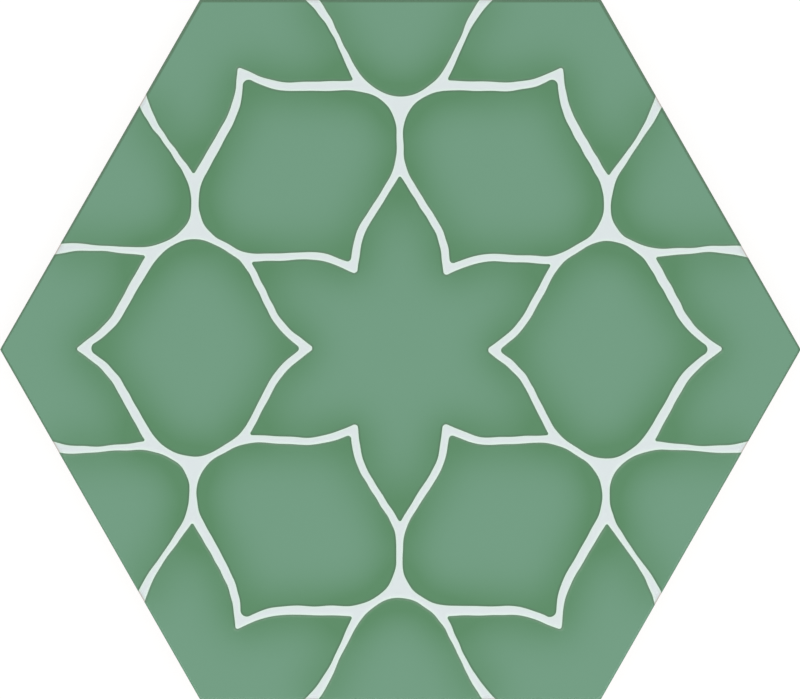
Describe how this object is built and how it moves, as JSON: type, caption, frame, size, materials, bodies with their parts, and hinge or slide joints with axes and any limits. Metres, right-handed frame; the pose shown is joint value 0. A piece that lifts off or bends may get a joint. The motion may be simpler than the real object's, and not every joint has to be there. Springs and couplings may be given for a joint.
{
  "type": "hexagonal floor tile",
  "caption": "Hexagonal glazed ceramic floor tile with a raised-line star and petal pattern on its face and a keyed back.",
  "frame": {"origin": "middle of the tile's back, where it rests", "axes": "+Z out of the glazed face; +X towards a corner of the hexagon; +Y towards the middle of a side"},
  "size_m": [0.2, 0.175, 0.009],
  "materials": {
    "glazed_tile": "gloss"
  },
  "bodies": {
    "root": {"hexagon_tile": "glazed_tile"}
  },
  "joints": []
}
